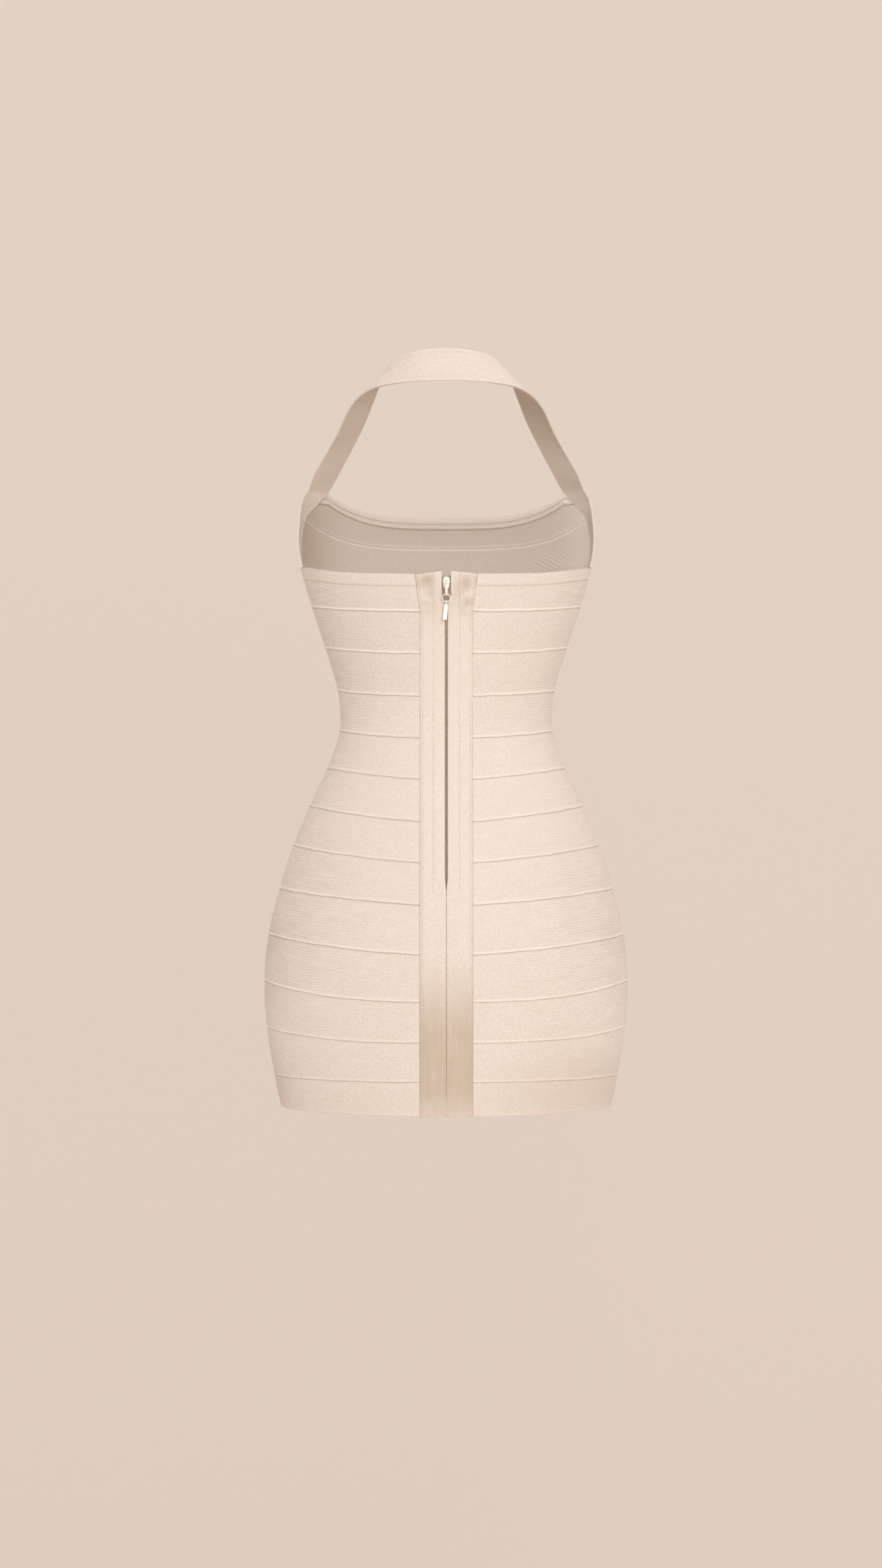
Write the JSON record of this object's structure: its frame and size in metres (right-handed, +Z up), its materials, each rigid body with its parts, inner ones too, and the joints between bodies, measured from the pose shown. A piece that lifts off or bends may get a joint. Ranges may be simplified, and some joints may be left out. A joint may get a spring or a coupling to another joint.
{
  "type": "bodycon dress",
  "caption": "Worn-shape sleeveless bandage-knit mini dress with a halter strap, an open back and a full-length centre-back placket with an exposed zip.",
  "frame": {"origin": "middle of the halter strap's inner face at the nape, where the wearer's neck carries the dress", "axes": "+Z up along the body, +Y towards the wearer's front, +X towards the wearer's right hand, which is the picture's right; the back with the zip faces -Y"},
  "size_m": [0.3608, 0.2442, 0.746],
  "materials": {
    "bandage_knit": "matte",
    "placket_knit": "matte",
    "zip_tape": "matte",
    "zip_metal": "satin"
  },
  "bodies": {
    "dress": {"band_01": "bandage_knit", "band_02": "bandage_knit", "band_03": "bandage_knit", "band_04": "bandage_knit", "band_05": "bandage_knit", "band_06": "bandage_knit", "band_07": "bandage_knit", "band_08": "bandage_knit", "band_09": "bandage_knit", "band_10": "bandage_knit", "band_11": "bandage_knit", "band_12": "bandage_knit", "band_13": "bandage_knit", "front_upper_1": "bandage_knit", "front_upper_2": "bandage_knit", "halter_strap": "bandage_knit", "placket_left": "placket_knit", "placket_right": "placket_knit", "zip_tape_left": "zip_tape", "zip_tape_right": "zip_tape", "zip_slider": "zip_metal"},
    "pull_ring": {"zip_pull_ring": "zip_metal"},
    "pull_bar": {"zip_pull_bar": "zip_metal"}
  },
  "joints": [
    {"name": "ring_swing", "type": "hinge", "parent": "dress", "child": "pull_ring", "pos_m": [0, -0.0427, -0.2264], "axis": [-1, 0, 0], "range_deg": [0, 110]},
    {"name": "bar_swing", "type": "hinge", "parent": "pull_ring", "child": "pull_bar", "pos_m": [0, -0.0427, -0.234], "axis": [-1, 0, 0], "range_deg": [0, 60]}
  ]
}
